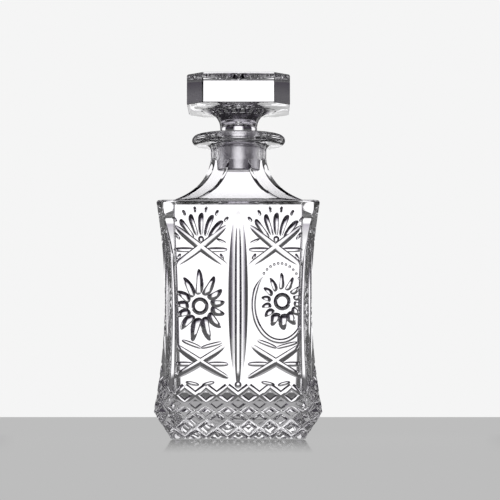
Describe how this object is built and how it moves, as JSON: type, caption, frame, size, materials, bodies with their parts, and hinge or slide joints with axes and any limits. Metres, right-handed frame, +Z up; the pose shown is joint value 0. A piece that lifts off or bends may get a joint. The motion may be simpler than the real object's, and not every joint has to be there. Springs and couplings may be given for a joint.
{
  "type": "cut crystal decanter",
  "caption": "Square waisted cut-glass spirit decanter with a collared neck and a ground glass stopper that lifts out.",
  "frame": {"origin": "middle of the base, on the surface that the bottle stands on", "axes": "+Z up along the neck, front face towards -Y"},
  "size_m": [0.0996, 0.0996, 0.22],
  "materials": {
    "bottle_glass": "clear lead crystal, polished wheel cuts, ground seat inside the neck",
    "stopper_glass": "clear lead crystal, polished, with a frosted ground plug"
  },
  "bodies": {
    "bottle": {"bottle": "bottle_glass"},
    "stopper": {"stopper": "stopper_glass"}
  },
  "joints": [
    {"name": "stopper_lift", "type": "slide", "parent": "bottle", "child": "stopper", "axis": [0, 0, 1], "range_m": [0, 0.04]}
  ]
}
